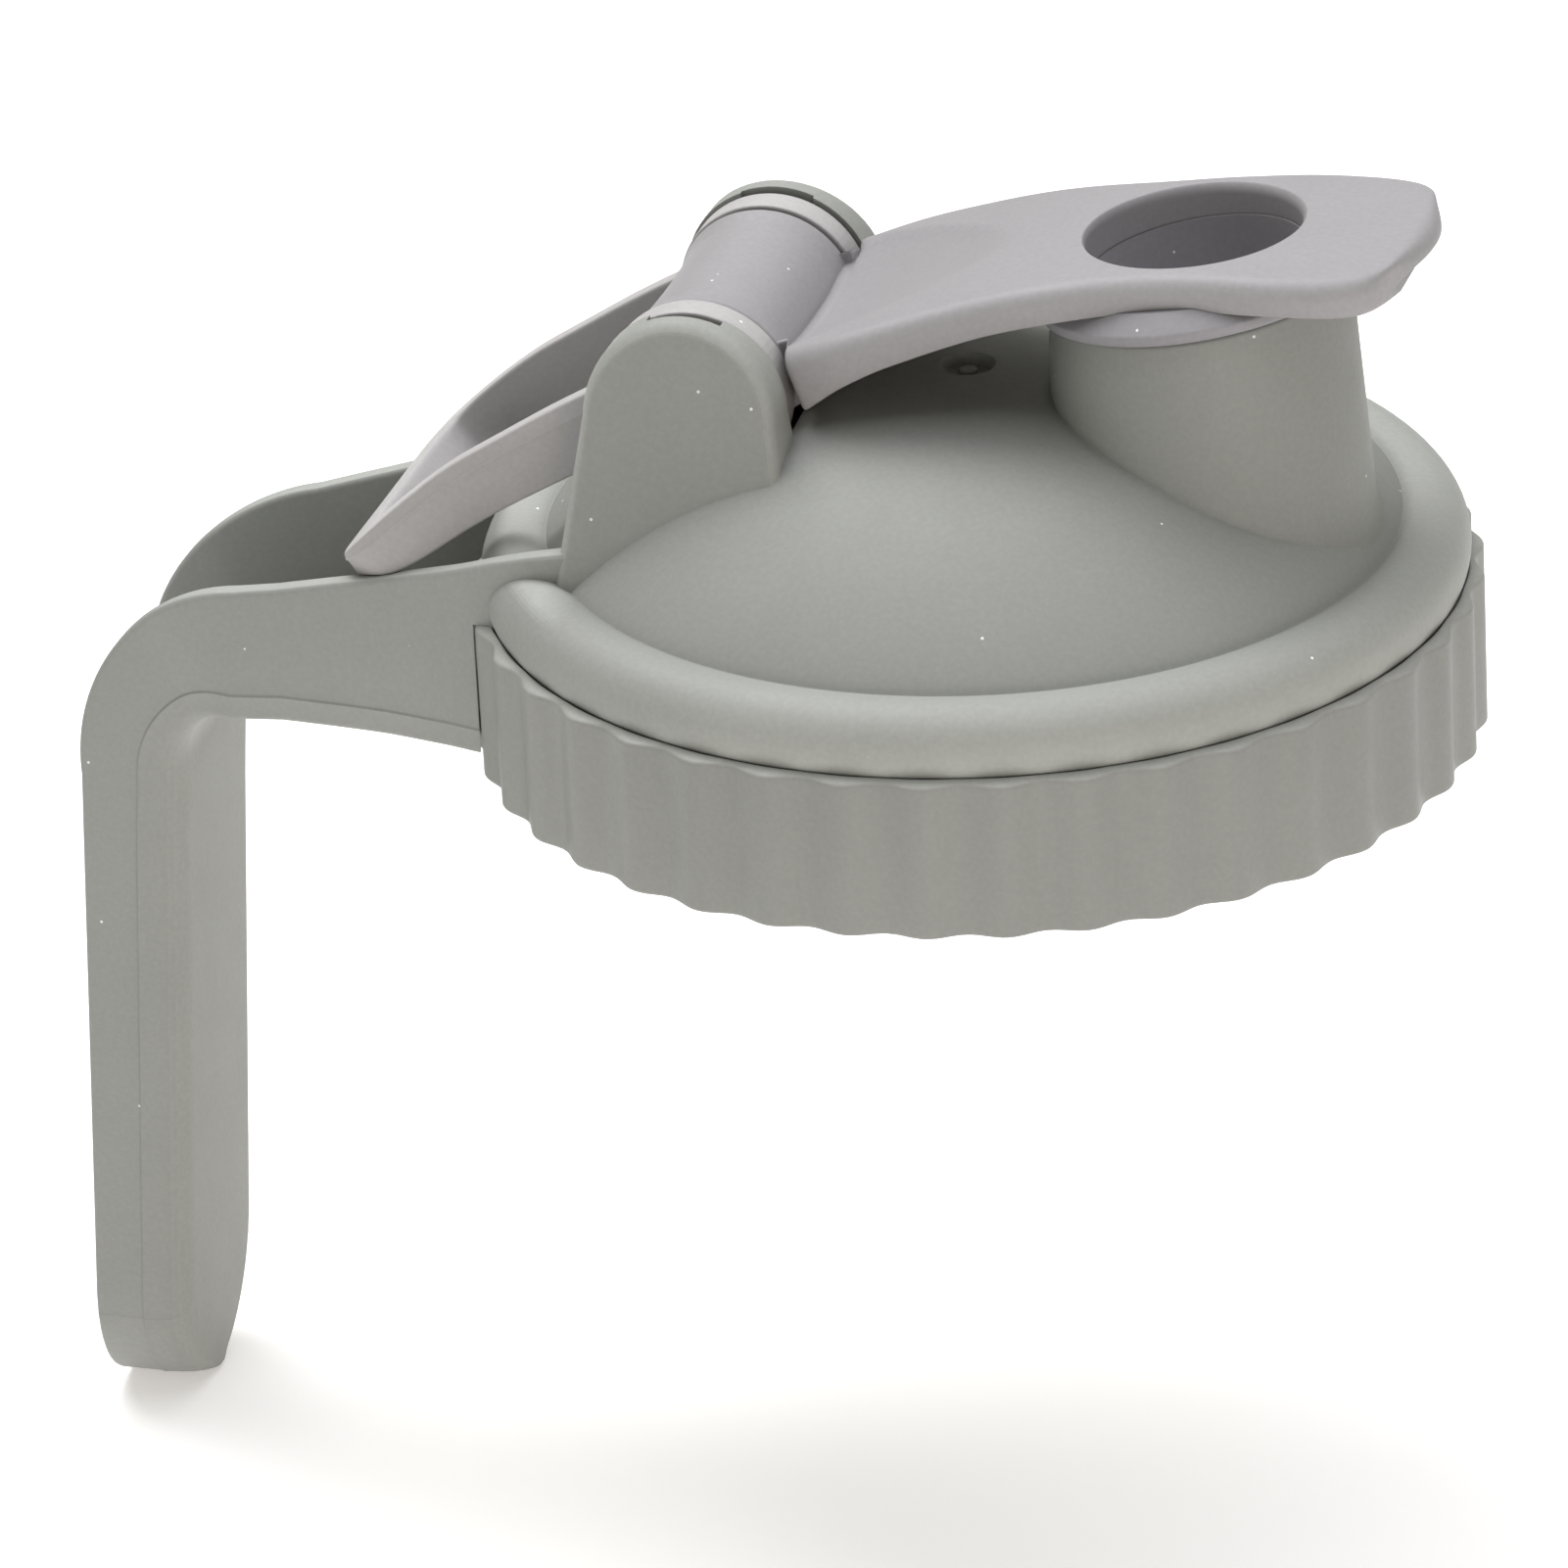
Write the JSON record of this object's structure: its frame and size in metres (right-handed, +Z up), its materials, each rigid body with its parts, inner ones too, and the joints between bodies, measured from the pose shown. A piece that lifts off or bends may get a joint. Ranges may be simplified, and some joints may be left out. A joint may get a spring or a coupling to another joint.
{
  "type": "flip-cap pour lid with side handle",
  "caption": "Wide-mouth jar pour lid: ribbed screw ring, domed lid with short spout, flip lever with a thumb cup that plugs it, carry loop on the same hinge, long side handle.",
  "frame": {"origin": "centre of the screw ring's open end, where the lid goes down over the jar's mouth", "axes": "+Z up out of the jar along the ring's axis, +X towards the spout, +Y across along the hinge"},
  "size_m": [0.1363, 0.094, 0.1294],
  "materials": {
    "body": "fine matte grain, grey with a slight sage cast",
    "ring": "satin, slightly glossier than the lid",
    "lever": "satin, light grey with a slight lilac cast",
    "seal": "soft matte"
  },
  "bodies": {
    "lid": {"lid_body": "body", "jar_gasket": "seal"},
    "ring": {"screw_ring": "ring"},
    "lever": {"flip_lever": "lever", "spout_stopper": "lever", "stopper_seal": "seal"},
    "loop": {"carry_loop": "lever"}
  },
  "joints": [
    {"name": "ring_turn", "type": "hinge", "parent": "lid", "child": "ring", "pos_m": [0, 0, 0], "axis": [0, 0, 1], "continuous": true},
    {"name": "lever_flip", "type": "hinge", "parent": "lid", "child": "lever", "pos_m": [-0.022, 0, 0.0363], "axis": [0, -1, 0], "range_deg": [0, 110]},
    {"name": "loop_swing", "type": "hinge", "parent": "lid", "child": "loop", "pos_m": [-0.022, 0, 0.0363], "axis": [0, 1, 0], "range_deg": [0, 125]}
  ]
}
